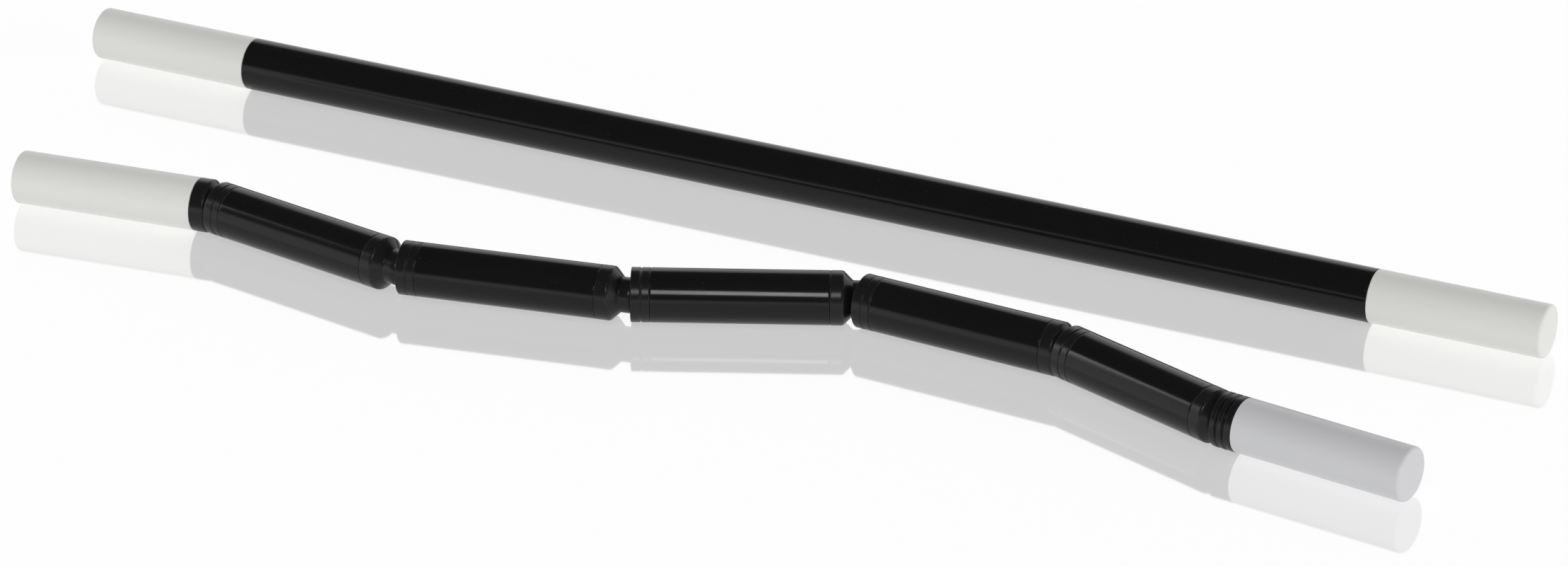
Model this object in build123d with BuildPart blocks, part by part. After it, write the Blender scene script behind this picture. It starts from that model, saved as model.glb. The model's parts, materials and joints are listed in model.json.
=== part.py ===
"""A pair of performance sticks: one rigid stick and one made of links strung on a cord.

Both lie on a flat surface at Z = 0. The rigid stick runs along X. The linked stick lies in
front of it with its cord slack, so each joint stands a little open and a little bent.
Every link has a cone and a round nose at its right end and an open mouth at its left end.
When the cord is pulled tight each cone seats in the next mouth and the stick becomes straight.
"""

import math
import os

from build123d import *

# ---- driving dimensions, in millimetres and degrees ----

STICK_RADIUS = 6.0
WALL = 1.3
BORE_RADIUS = STICK_RADIUS - WALL
EDGE = 0.25

# rigid stick, and the two tip lengths of the linked one
STRAIGHT_LENGTH = 358.0
TIP_LENGTH = 40.0
LEFT_TIP_LENGTH = 43.2
STRAIGHT_Y = 39.0
TIP_END_WALL = 2.4
TIP_ROUND = 0.7
SPIGOT_REACH = 13.0
SPIGOT_BORE = 3.0

# links: full-diameter length of each link, and how far each joint stands open
LINK_LENGTHS = [47.1, 47.9, 46.0, 47.9, 42.0]
JOINT_GAPS = [2.1, 4.4, 4.0, 4.7, 2.0, 1.6]
HEADINGS = [6.4, -10.3, 10.1, 23.3, -3.4, -19.3, -8.0]
LEFT_PIVOT = (-109.6, -30.5)

# male end: a ring flush with the tube, a 45 degree cone and a round-ended nose
RING_WIDTH = 2.8
SHANK_LENGTH = 7.0
NOSE_RADIUS = 3.9
NOSE_LAND = 1.8
NOSE_ROUND = 2.3
CONE_LENGTH = STICK_RADIUS - NOSE_RADIUS
FLARE_RADIUS = 2.85

# female end: a bevelled mouth with one fine groove round it
MOUTH_WIDTH = 4.2
MOUTH_EDGE = 0.15
MOUTH_RADIUS = 5.7
CAVITY_RADIUS = 4.9
CAVITY_STRAIGHT = 3.0
CAVITY_TAPER_END = 4.9
CAVITY_THROAT = 3.3
CAVITY_DEPTH = 6.7
WEB = 1.5
GROOVE_STEPS = [2.2]
GROOVE_DEPTH = 0.22
GROOVE_WIDTH = 0.5

# cord
CORD_RADIUS = 0.8
CORD_HOLE = 1.3
CORD_BEND = 10.0
CRIMP_RADIUS = 2.1
CRIMP_LENGTH = 5.0
CRIMP_CLEARANCE = 0.05

# end fittings
LEFT_COLLAR_WIDTH = 3.2
RIGHT_COLLAR_WIDTH = 5.1
RIDGE_STEPS = [1.5, 3.2]
RIDGE_DEPTH = 0.55
RIDGE_WIDTH = 0.8
STEM_RADIUS = 4.5
STEM_SLIDE_CLEARANCE = 0.1
STEM_BORE = 3.0
STEM_LENGTH = 18.0
STEM_SPIGOT = 6.0
ANCHOR_SETBACK = 24.0
ANCHOR_THICKNESS = 2.0


def along(point, heading):
    """The upright plane whose x runs along a stick's axis from a point on the surface below it."""
    turn = math.radians(heading)
    return Plane(
        origin=(point[0], point[1], STICK_RADIUS),
        x_dir=(math.cos(turn), math.sin(turn), 0),
        z_dir=(math.sin(turn), -math.cos(turn), 0),
    )


def step(point, heading, distance):
    """The point a distance along a heading."""
    turn = math.radians(heading)
    return (point[0] + distance * math.cos(turn), point[1] + distance * math.sin(turn))


def turned(plane, outline):
    """A solid of revolution about the plane's x axis, from (along, radius) corners."""
    with BuildPart() as piece:
        with BuildSketch(plane):
            with BuildLine():
                Polyline(*outline, close=True)
            make_face()
        revolve(axis=Axis(plane.origin, plane.x_dir))
    return piece


def pipe(plane, start, end, outer, inner):
    """A plain tube with softened outer edges."""
    return turned(
        plane,
        [
            (start, inner),
            (start, outer - EDGE),
            (start + EDGE, outer),
            (end - EDGE, outer),
            (end, outer - EDGE),
            (end, inner),
        ],
    )


def grooved_edge(start, end, steps, depth, width, radius):
    """Corners of an outer edge with a softened start and V grooves cut round it."""
    corners = [(start, radius - MOUTH_EDGE), (start + MOUTH_EDGE, radius)]
    for middle in steps:
        corners += [
            (start + middle - width / 2, radius),
            (start + middle, radius - depth),
            (start + middle + width / 2, radius),
        ]
    return corners + [(end, radius)]


def nose_plug(plane, shoulder, ring_width, shank_length):
    """The male end: shank in the tube, flush ring, cone and round nose, bored for the cord."""
    ring_start = shoulder - ring_width
    back = ring_start - shank_length
    cone_end = shoulder + CONE_LENGTH
    round_start = cone_end + NOSE_LAND
    round_height = NOSE_RADIUS - NOSE_ROUND
    lip_turn = math.asin((FLARE_RADIUS - round_height) / NOSE_ROUND)
    middle_turn = (lip_turn + math.pi / 2) / 2
    lip = (round_start + NOSE_ROUND * math.cos(lip_turn), FLARE_RADIUS)
    with BuildPart() as piece:
        with BuildSketch(plane):
            with BuildLine():
                outline = Polyline(
                    (back, CORD_HOLE),
                    (back, BORE_RADIUS),
                    (ring_start, BORE_RADIUS),
                    (ring_start, STICK_RADIUS - EDGE),
                    (ring_start + EDGE, STICK_RADIUS),
                    (shoulder, STICK_RADIUS),
                    (cone_end, NOSE_RADIUS),
                    (round_start, NOSE_RADIUS),
                )
                ThreePointArc(
                    outline @ 1,
                    (
                        round_start + NOSE_ROUND * math.cos(middle_turn),
                        round_height + NOSE_ROUND * math.sin(middle_turn),
                    ),
                    lip,
                )
                Polyline(lip, (shoulder - 1.0, CORD_HOLE), (back, CORD_HOLE))
            make_face()
        revolve(axis=Axis(plane.origin, plane.x_dir))
    return piece


def mouth_inside():
    """Corners of the female cavity, from the mouth inwards to the web's cord hole."""
    return [
        (0, MOUTH_RADIUS),
        (MOUTH_RADIUS - CAVITY_RADIUS, CAVITY_RADIUS),
        (CAVITY_STRAIGHT, CAVITY_RADIUS),
        (CAVITY_TAPER_END, CAVITY_THROAT),
        (CAVITY_DEPTH, CAVITY_THROAT),
        (CAVITY_DEPTH, CORD_HOLE),
    ]


def mouth_ferrule(plane):
    """The female end: bevelled mouth, flush ring with a fine groove, shank in the tube."""
    back = CAVITY_DEPTH + WEB
    ring = grooved_edge(0, MOUTH_WIDTH - EDGE, GROOVE_STEPS, GROOVE_DEPTH, GROOVE_WIDTH, STICK_RADIUS)
    return turned(
        plane,
        [
            (back, CORD_HOLE),
            (back, BORE_RADIUS),
            (MOUTH_WIDTH, BORE_RADIUS),
            (MOUTH_WIDTH, STICK_RADIUS - EDGE),
            *reversed(ring),
            *mouth_inside(),
        ],
    )


def tip_cap(plane, length, bore):
    """A white tip: open at x = 0, closed at its far end, which is flat with a soft edge."""
    with BuildPart() as piece:
        with BuildSketch(plane):
            with BuildLine():
                Polyline(
                    (length, 0),
                    (length - TIP_END_WALL, 0),
                    (length - TIP_END_WALL, bore),
                    (0, bore),
                    (0, STICK_RADIUS - EDGE),
                    (EDGE, STICK_RADIUS),
                    (length - TIP_ROUND, STICK_RADIUS),
                )
                RadiusArc((length - TIP_ROUND, STICK_RADIUS), (length, STICK_RADIUS - TIP_ROUND), TIP_ROUND)
                Line((length, STICK_RADIUS - TIP_ROUND), (length, 0))
            make_face()
        revolve(axis=Axis(plane.origin, plane.x_dir))
    return piece


def crimp(plane, start):
    """A short metal ferrule crimped on the cord's end."""
    return pipe(plane, start, start + CRIMP_LENGTH, CRIMP_RADIUS, CORD_RADIUS + CRIMP_CLEARANCE)


def save(piece, name):
    """Label a piece and write it to its own file."""
    piece.part.label = name
    export_step(piece.part, f"parts/{name}.step")


def rigid_stick():
    """The straight stick: shaft tube, two joining spigots and two white tips."""
    half_shaft = STRAIGHT_LENGTH / 2 - TIP_LENGTH
    right = along((0, STRAIGHT_Y), 0)
    left = along((0, STRAIGHT_Y), 180)
    save(pipe(right, -half_shaft, half_shaft, STICK_RADIUS, BORE_RADIUS), "straight_shaft_tube")
    for side, plane in (("left", left), ("right", right)):
        ends = (half_shaft - SPIGOT_REACH, half_shaft + SPIGOT_REACH)
        save(pipe(plane, *ends, BORE_RADIUS, SPIGOT_BORE), f"straight_{side}_spigot")
        seat = Plane(plane.from_local_coords((half_shaft, 0, 0)), x_dir=plane.x_dir, z_dir=plane.z_dir)
        save(tip_cap(seat, TIP_LENGTH, BORE_RADIUS), f"straight_{side}_tip")


def joint_points():
    """The bending centre of every joint, left to right, in the middle of its gap."""
    points = [LEFT_PIVOT]
    for index, length in enumerate(LINK_LENGTHS):
        pitch = length + (JOINT_GAPS[index] + JOINT_GAPS[index + 1]) / 2
        points.append(step(points[-1], HEADINGS[index + 1], pitch))
    return points


def link(number, start, heading, length):
    """One link: tube between a mouth ferrule on the left and a nose plug on the right."""
    plane = along(start, heading)
    save(
        pipe(plane, MOUTH_WIDTH, length - RING_WIDTH, STICK_RADIUS, BORE_RADIUS),
        f"link_{number}_tube",
    )
    save(mouth_ferrule(plane), f"link_{number}_mouth_ferrule")
    save(nose_plug(plane, length, RING_WIDTH, SHANK_LENGTH), f"link_{number}_nose_plug")


def left_end(pivot):
    """The left end: white tip, black collar with its nose, and the cord's crimp behind it."""
    heading = HEADINGS[0]
    shoulder = step(pivot, heading, -JOINT_GAPS[0] / 2)
    plane = along(shoulder, heading)
    save(nose_plug(plane, 0, LEFT_COLLAR_WIDTH, SHANK_LENGTH), "left_collar")
    tip_seat = along(step(shoulder, heading, -LEFT_COLLAR_WIDTH), heading + 180)
    save(tip_cap(tip_seat, LEFT_TIP_LENGTH, BORE_RADIUS), "left_tip")
    crimp_start = -LEFT_COLLAR_WIDTH - SHANK_LENGTH - CRIMP_LENGTH
    save(crimp(plane, crimp_start), "left_cord_crimp")
    return step(shoulder, heading, crimp_start)


def right_end(pivot):
    """The right end: ridged collar, guide stem, sliding white tip, anchor disc and crimp."""
    heading = HEADINGS[-1]
    face = step(pivot, heading, JOINT_GAPS[-1] / 2)
    plane = along(face, heading)
    web_back = CAVITY_DEPTH + WEB
    spigot_end = web_back + STEM_SPIGOT
    ridged = grooved_edge(0, RIGHT_COLLAR_WIDTH, RIDGE_STEPS, RIDGE_DEPTH, RIDGE_WIDTH, STICK_RADIUS)
    collar = turned(
        plane,
        [
            (spigot_end, CORD_HOLE),
            (spigot_end, STEM_BORE),
            (web_back, STEM_BORE),
            (web_back, STEM_RADIUS),
            (RIGHT_COLLAR_WIDTH, STEM_RADIUS),
            *reversed(ridged),
            *mouth_inside(),
        ],
    )
    save(collar, "right_collar")
    save(pipe(plane, web_back, web_back + STEM_LENGTH, STEM_RADIUS, STEM_BORE), "tension_stem")
    tip_seat = along(step(face, heading, RIGHT_COLLAR_WIDTH), heading)
    bore = STEM_RADIUS + STEM_SLIDE_CLEARANCE
    save(tip_cap(tip_seat, TIP_LENGTH, bore), "right_tip")
    disc_start = ANCHOR_SETBACK
    disc_end = disc_start + ANCHOR_THICKNESS
    save(pipe(tip_seat, disc_start, disc_end, bore, CORD_RADIUS + CRIMP_CLEARANCE), "cord_anchor_disc")
    save(crimp(tip_seat, disc_end), "right_cord_crimp")
    return step(face, heading, RIGHT_COLLAR_WIDTH + disc_end + CRIMP_LENGTH)


def pull_cord(route):
    """The one cord that strings the stick, straight in each link with a small arc at each joint."""
    points = [(x, y, STICK_RADIUS) for x, y in route]
    with BuildPart() as piece:
        with BuildLine() as path:
            FilletPolyline(*points, radius=CORD_BEND)
        with BuildSketch(Plane(path.line @ 0, z_dir=path.line % 0)):
            Circle(CORD_RADIUS)
        sweep(path=path.line)
    save(piece, "pull_cord")
    return sum(edge.length for edge in path.edges())


def linked_stick():
    """The linked stick, from its left tip to its right tip."""
    pivots = joint_points()
    cord_start = left_end(pivots[0])
    for index, length in enumerate(LINK_LENGTHS):
        heading = HEADINGS[index + 1]
        start = step(pivots[index], heading, JOINT_GAPS[index] / 2)
        link(index + 1, start, heading, length)
    cord_end = right_end(pivots[-1])
    cord_length = pull_cord([cord_start, *pivots, cord_end])
    print(f"cord length {cord_length:.1f} mm")


os.makedirs("parts", exist_ok=True)
rigid_stick()
linked_stick()
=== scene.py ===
"""Surfaces and finishes for a pair of sticks: a rigid one, and one of links strung on a cord.

Every shape is a profile turned about a stick's axis, or a round section carried along the
cord. Lengths are in metres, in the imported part's own frame.
"""

from __future__ import annotations

import json
import logging
import math
from dataclasses import dataclass, field, replace
from enum import Enum
from typing import Callable

import bpy
import numpy as np
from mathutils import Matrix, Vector

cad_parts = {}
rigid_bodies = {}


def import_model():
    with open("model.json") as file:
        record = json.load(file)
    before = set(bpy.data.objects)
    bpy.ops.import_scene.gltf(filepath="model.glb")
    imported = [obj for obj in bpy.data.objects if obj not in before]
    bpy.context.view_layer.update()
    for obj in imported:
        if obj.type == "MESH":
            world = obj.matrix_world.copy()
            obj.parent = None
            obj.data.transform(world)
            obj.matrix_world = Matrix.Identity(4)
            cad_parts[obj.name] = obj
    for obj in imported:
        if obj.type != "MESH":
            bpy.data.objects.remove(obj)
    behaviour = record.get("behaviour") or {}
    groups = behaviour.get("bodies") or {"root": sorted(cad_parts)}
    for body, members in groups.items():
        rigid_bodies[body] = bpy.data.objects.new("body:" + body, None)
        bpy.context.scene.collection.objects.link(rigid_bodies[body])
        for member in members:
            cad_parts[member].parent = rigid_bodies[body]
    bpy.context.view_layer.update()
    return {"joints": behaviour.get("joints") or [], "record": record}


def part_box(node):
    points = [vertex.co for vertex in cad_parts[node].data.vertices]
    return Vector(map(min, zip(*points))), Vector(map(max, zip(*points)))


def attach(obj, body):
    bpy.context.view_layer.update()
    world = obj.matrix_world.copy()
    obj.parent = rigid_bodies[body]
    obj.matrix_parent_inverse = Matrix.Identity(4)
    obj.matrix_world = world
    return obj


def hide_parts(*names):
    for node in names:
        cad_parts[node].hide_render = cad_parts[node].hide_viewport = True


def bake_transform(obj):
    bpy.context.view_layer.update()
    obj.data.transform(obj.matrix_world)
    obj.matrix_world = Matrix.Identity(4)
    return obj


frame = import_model()

LOG = logging.getLogger("sticks")
MM = 0.001

STICK_RADIUS = 6.0 * MM
HAIR = 0.02 * MM
SEAM_ANGLE = math.radians(100)
LAMP_DISTANCE = 2.0

# Outline sizes, in millimetres.
OUTER = 6.0
BORE = 4.7
CORD_HOLE = 1.3
SHANK_EDGE = 0.4
RING_EDGE = 0.22
SPIGOT_REACH = 13.0
SPIGOT_BORE = 3.0
CRIMP_RADIUS = 2.1
CRIMP_BORE = 0.85
CRIMP_LENGTH = 5.0
WEB_BACK = 8.2
STEM_RADIUS = 4.5
STEM_BORE = 3.0
STEM_END = 26.2
STEM_SPIGOT_END = 14.2
SLIDE_BORE = 4.6
ANCHOR_START = 24.0
ANCHOR_END = 26.0
TIP_WALL = 2.4

RING_WIDTH = 2.8 * MM
MOUTH_WIDTH = 4.2 * MM
SHANK_LENGTH = 7.0 * MM
CAVITY_DEPTH = 6.7 * MM
WEB = 1.5 * MM
CORD_RADIUS = 0.8 * MM

Relief = Callable[[np.ndarray, np.ndarray], np.ndarray]


class Loop(Enum):
    """How a profile closes: round a bore, or by running from one pole to another."""

    ROUND_A_BORE = "bore"
    POLE_TO_POLE = "poles"


class Slot(Enum):
    """The record's material slots."""

    BLACK = "gloss_black"
    FITTING = "black_fitting"
    WHITE = "white_tip"
    GREY = "grey_tip"
    INNER = "inner_plastic"
    CORD = "cord"
    CRIMP = "crimp_metal"


# ---------------------------------------------------------------- geometry


@dataclass(frozen=True)
class StickAxis:
    """A stick's own axis: where it starts and the way it runs, level with the floor."""

    origin: np.ndarray
    direction: np.ndarray

    def at(self, distance: float) -> np.ndarray:
        """The point a distance along the axis."""
        return self.origin + self.direction * distance

    def moved(self, distance: float) -> "StickAxis":
        """The same axis, starting a distance further on."""
        return StickAxis(self.at(distance), self.direction)

    def reversed(self) -> "StickAxis":
        """The same start, running the other way."""
        return StickAxis(self.origin, -self.direction)

    def place(self, along: np.ndarray, radius: np.ndarray, angle: np.ndarray) -> np.ndarray:
        """Turns a point round the axis.

        The place is origin + along * d + radius * (cos(angle) * up + sin(angle) * (d x up)).

        Args:
            along: distance along the axis.
            radius: distance from the axis.
            angle: turn about the axis, from straight up.

        Returns:
            The places, with x, y and z last.
        """
        up = np.array([0.0, 0.0, 1.0])
        side = np.cross(self.direction, up)
        return (
            self.origin
            + along[..., None] * self.direction
            + (radius * np.cos(angle))[..., None] * up
            + (radius * np.sin(angle))[..., None] * side
        )


@dataclass(frozen=True)
class Profile:
    """Points of a turned outline as (along, radius), and how much each lies on an outer edge."""

    points: np.ndarray
    edge: np.ndarray
    loop: Loop


def rounded_profile(
    corners: list[tuple[float, float, float]],
    loop: Loop = Loop.ROUND_A_BORE,
    arc_steps: int = 5,
    run_steps: int = 4,
) -> Profile:
    """Rounds each corner of an outline to an arc, and puts points along the straight runs.

    An arc of radius r in a corner of half angle h starts r / tan(h) from the corner, and its
    centre is r / sin(h) from it along the bisector. Points on it are slerped between its ends.
    Each run then gets points close to both ends, which keep its shading flat.

    Args:
        corners: (along, radius, arc radius) in millimetres, in order round the outline.
        loop: how the outline closes. From pole to pole the two ends stay sharp.
        arc_steps: points on each arc.
        run_steps: points on each straight run.

    Returns:
        The profile in metres.
    """
    table = np.array(corners, float) * MM
    at, arc = table[:, :2], np.maximum(table[:, 2], HAIR)
    to_last, to_next = np.roll(at, 1, 0) - at, np.roll(at, -1, 0) - at
    last_length = np.linalg.norm(to_last, axis=1)
    next_length = np.linalg.norm(to_next, axis=1)
    a, b = to_last / last_length[:, None], to_next / next_length[:, None]
    half = np.arccos(np.clip((a * b).sum(1), -1.0, 1.0)) / 2
    reach = np.minimum(arc / np.tan(half), 0.45 * np.minimum(last_length, next_length))
    arc = reach * np.tan(half)
    bisector = (a + b) / np.linalg.norm(a + b, axis=1)[:, None]
    centre = at + bisector * (arc / np.sin(half))[:, None]
    first, final = at + a * reach[:, None] - centre, at + b * reach[:, None] - centre
    sweep = np.pi - 2 * half
    share = np.linspace(0.0, 1.0, arc_steps)[None, :]
    weights = [np.sin((1 - share) * sweep[:, None]), np.sin(share * sweep[:, None])]
    slerped = weights[0][..., None] * first[:, None] + weights[1][..., None] * final[:, None]
    arcs = centre[:, None] + slerped / np.sin(sweep)[:, None, None]
    run_start, run_end = arcs[:, -1], np.roll(arcs[:, 0], -1, 0)
    run_length = np.linalg.norm(run_end - run_start, axis=1)
    near = np.minimum(0.12 * MM / np.maximum(run_length, HAIR), 0.25)[:, None]
    spread = near + (1 - 2 * near) * np.linspace(0.0, 1.0, run_steps)[None, :]
    runs = run_start[:, None] + spread[..., None] * (run_end - run_start)[:, None]
    corner_turn = to_last[:, 0] * to_next[:, 1] - to_last[:, 1] * to_next[:, 0]
    loop_turn = (at[:, 0] * np.roll(at[:, 1], -1) - np.roll(at[:, 0], -1) * at[:, 1]).sum()
    convex = (corner_turn * loop_turn < 0).astype(float)
    marks = np.concatenate(
        [np.repeat(convex[:, None], arc_steps, 1), np.zeros((len(at), run_steps))], axis=1
    )
    points = np.concatenate([arcs, runs], axis=1)
    if loop is Loop.POLE_TO_POLE:
        points[0, :arc_steps] = at[0]
        points[-1, :arc_steps] = at[-1]
        flat, mark = points.reshape(-1, 2), marks.reshape(-1)
        keep = slice(arc_steps - 1, len(flat) - run_steps - arc_steps + 1)
        return Profile(flat[keep], mark[keep], loop)
    return Profile(points.reshape(-1, 2), marks.reshape(-1), loop)


def mesh_object(name: str, vertices: np.ndarray, faces: np.ndarray, uv: np.ndarray) -> bpy.types.Object:
    """Puts whole arrays into a smooth-shaded mesh whose faces point outwards.

    Args:
        name: the piece's name.
        vertices: places, one row each.
        faces: quads, or triangles with the last corner repeated, one row each.
        uv: two numbers for each corner of each face.

    Returns:
        The new object, at the origin, in the scene.
    """
    triangle = faces[:, 2] == faces[:, 3]
    sizes = np.where(triangle, 3, 4)
    fan = vertices[faces]
    volume = np.einsum("ij,ij->i", fan[:, 0], np.cross(fan[:, 1], fan[:, 2])).sum()
    volume += np.einsum("ij,ij->i", fan[:, 0], np.cross(fan[:, 2], fan[:, 3])).sum()
    used = np.ones(faces.shape, bool)
    used[triangle, 3] = False
    if volume < 0:
        order = np.where(triangle[:, None], [2, 1, 0, 3], [3, 2, 1, 0])
        faces = np.take_along_axis(faces, order, 1)
        uv = np.take_along_axis(uv, order[..., None], 1)
    mesh = bpy.data.meshes.new(name)
    mesh.vertices.add(len(vertices))
    mesh.vertices.foreach_set("co", vertices.astype(np.float32).ravel())
    mesh.loops.add(int(sizes.sum()))
    mesh.loops.foreach_set("vertex_index", faces[used].astype(np.int32))
    mesh.polygons.add(len(faces))
    mesh.polygons.foreach_set("loop_start", np.concatenate([[0], np.cumsum(sizes)[:-1]]).astype(np.int32))
    mesh.update(calc_edges=True)
    mesh.uv_layers.new(name="UVMap").data.foreach_set("uv", uv[used].astype(np.float32).ravel())
    mesh.polygons.foreach_set("use_smooth", np.ones(len(faces), bool))
    mesh.validate()
    piece = bpy.data.objects.new(name, mesh)
    bpy.context.scene.collection.objects.link(piece)
    return piece


def wrapped_grid(rows: int, columns: int, close_rows: bool) -> tuple[np.ndarray, np.ndarray]:
    """Quads of a grid that closes on itself across its columns.

    Args:
        rows: points along the profile or path.
        columns: points round the section.
        close_rows: whether the last row joins the first.

    Returns:
        The vertex numbers of each quad, and the (row, column) of each corner before wrapping.
    """
    row = np.arange(rows if close_rows else rows - 1)[:, None]
    column = np.arange(columns)[None, :]
    corner_rows = np.stack(np.broadcast_arrays(row, row, row + 1, row + 1), -1)
    corner_columns = np.stack(np.broadcast_arrays(column, column + 1, column + 1, column), -1)
    corner_rows, corner_columns = np.broadcast_arrays(corner_rows, corner_columns)
    numbers = (corner_rows % rows) * columns + corner_columns % columns
    places = np.stack([corner_rows, corner_columns], -1)
    return numbers.reshape(-1, 4), places.reshape(-1, 4, 2)


def turned(
    name: str,
    axis: StickAxis,
    profile: Profile,
    relief: Relief | None = None,
    segments: int = 128,
) -> bpy.types.Object:
    """A surface of revolution: each profile point, lifted by the relief, turned about the axis.

    Args:
        name: the piece's name.
        axis: what it turns about; profile distances start at the axis's origin.
        profile: the outline.
        relief: how far the surface stands out at a distance and angle, in metres.
        segments: points round the axis.

    Returns:
        The new object, with a UV map in metres and an "edge" attribute.
    """
    angle = np.linspace(0.0, 2 * np.pi, segments, endpoint=False)
    along, radius = np.meshgrid(profile.points[:, 0], angle, indexing="ij")[0], profile.points[:, 1:2]
    turn = np.broadcast_to(angle, along.shape)
    lift = relief(along, turn) * (radius > 0.5 * STICK_RADIUS) if relief else 0.0
    vertices = axis.place(along, radius + lift, turn).reshape(-1, 3)
    rows = len(profile.points)
    faces, places = wrapped_grid(rows, segments, profile.loop is Loop.ROUND_A_BORE)
    stretch = np.linalg.norm(np.diff(profile.points, axis=0, append=profile.points[:1]), axis=1)
    run = np.concatenate([[0.0], np.cumsum(stretch)])
    uv = np.stack([places[..., 1] * (2 * np.pi * STICK_RADIUS / segments), run[places[..., 0]]], -1)
    if profile.loop is Loop.POLE_TO_POLE:
        last = (rows - 1) * segments
        faces = np.where(faces < segments, 0, np.where(faces >= last, last, faces))
        starts = faces[:, 0] == faces[:, 1]
        faces[starts] = faces[starts][:, [0, 2, 3, 3]]
        uv[starts] = uv[starts][:, [0, 2, 3, 3]]
        kept = np.unique(faces)
        faces = np.searchsorted(kept, faces)
    else:
        kept = np.arange(len(vertices))
    piece = mesh_object(name, vertices[kept], faces, uv)
    mark = np.repeat(profile.edge, segments)[kept]
    piece.data.attributes.new("edge", "FLOAT", "POINT").data.foreach_set("value", mark.astype(np.float32))
    return piece


def parting_line(height: float = 0.015 * MM, width: float = 0.3 * MM) -> Relief:
    """The trace that a two-part mould leaves: a low ridge on each side.

    The lift is height * (exp(-(arc / width)^2) - 1), so that it never stands proud.

    Args:
        height: how high the ridge is.
        width: half its width round the surface.

    Returns:
        The relief.
    """

    def lift(along: np.ndarray, angle: np.ndarray) -> np.ndarray:
        """The ridge's lift; along has no part in it."""
        arc = np.abs(np.abs((angle + np.pi) % (2 * np.pi) - np.pi) - SEAM_ANGLE) * STICK_RADIUS
        return height * (np.exp(-((arc / width) ** 2)) - 1.0) + 0.0 * along

    return lift


def drawn_waves(height: float, length: float) -> Relief:
    """The slight waviness of a drawn tube: two long sines along it and one round it.

    Args:
        height: greatest dip below the true radius.
        length: wavelength along the tube.

    Returns:
        The relief, never above zero.
    """

    def lift(along: np.ndarray, angle: np.ndarray) -> np.ndarray:
        """The sum of the sines, shifted so that its top is the true radius."""
        turns = 2 * np.pi * along / length
        return height * (np.sin(turns) + 0.6 * np.sin(turns / 0.37 + 2 * angle) - 1.6) / 3.2

    return lift


def swept_cord(name: str, path: np.ndarray, radius: float, strands: int, lay: float) -> bpy.types.Object:
    """A braided cord along a level path.

    The section's radius is r * (0.9 + 0.1 * max(|sin p|, |sin q|)), where p and q run round the
    cord in opposite ways as they go along it, which gives the crossing strands. The ends close
    on a pole.

    Args:
        name: the piece's name.
        path: points of the centreline.
        radius: outer radius of the cord.
        strands: strands round the cord.
        lay: length in which a strand goes once round.

    Returns:
        The new object.
    """
    columns = 40
    tangent = np.gradient(path, axis=0)
    tangent /= np.linalg.norm(tangent, axis=1)[:, None]
    up = np.array([0.0, 0.0, 1.0])
    side = np.cross(tangent, up)
    run = np.concatenate([[0.0], np.cumsum(np.linalg.norm(np.diff(path, axis=0), axis=1))])
    angle = np.linspace(0.0, 2 * np.pi, columns, endpoint=False)
    twist = run[:, None] * (2 * np.pi / lay)
    left = np.abs(np.sin(strands / 2 * (angle[None] + twist)))
    right = np.abs(np.sin(strands / 2 * (angle[None] - twist)))
    section = radius * (0.9 + 0.1 * np.maximum(left, right))
    body = (
        path[:, None]
        + (section * np.cos(angle))[..., None] * up
        + (section * np.sin(angle))[..., None] * side[:, None]
    )
    rows = len(path)
    faces, places = wrapped_grid(rows, columns, False)
    uv = np.stack([places[..., 1] / columns, run[places[..., 0]]], -1)
    first, last = rows * columns, rows * columns + 1
    ring = np.arange(columns)
    after = (ring + 1) % columns
    end = (rows - 1) * columns
    head = np.stack([after, ring, np.full(columns, first), np.full(columns, first)], 1)
    tail = np.stack([end + ring, end + after, np.full(columns, last), np.full(columns, last)], 1)
    vertices = np.concatenate([body.reshape(-1, 3), path[:1], path[-1:]])
    cap_uv = np.zeros((2 * columns, 4, 2))
    return mesh_object(name, vertices, np.concatenate([faces, head, tail]), np.concatenate([uv, cap_uv]))


def eased_path(
    start: np.ndarray, leave: np.ndarray, arrive: np.ndarray, end: np.ndarray, count: int
) -> np.ndarray:
    """A smooth path: straight from start to leave, one cubic from leave to arrive, straight to end.

    The cubic's handles lie along the two straights, each 0.4 of the gap long.

    Args:
        start: first point, inside one piece.
        leave: where the path comes free of that piece.
        arrive: where it enters the next piece.
        end: last point, inside the next piece.
        count: points on the cubic.

    Returns:
        The points, one row each.
    """
    gap = np.linalg.norm(arrive - leave)
    first = leave + (leave - start) / np.linalg.norm(leave - start) * 0.4 * gap
    last = arrive - (end - arrive) / np.linalg.norm(end - arrive) * 0.4 * gap
    t = np.linspace(0.0, 1.0, count)[:, None]
    cubic = (1 - t) ** 3 * leave + 3 * t * (1 - t) ** 2 * first + 3 * t * t * (1 - t) * last + t**3 * arrive
    s = np.linspace(0.0, 1.0, max(4, count // 3))[:, None]
    return np.concatenate([start + s[:-1] * (leave - start), cubic, arrive + s[1:] * (end - arrive)])


# ---------------------------------------------------------------- finishes


Wiring = Callable[["Desk", bpy.types.NodeOutputs], bpy.types.NodeSocket]


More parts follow.
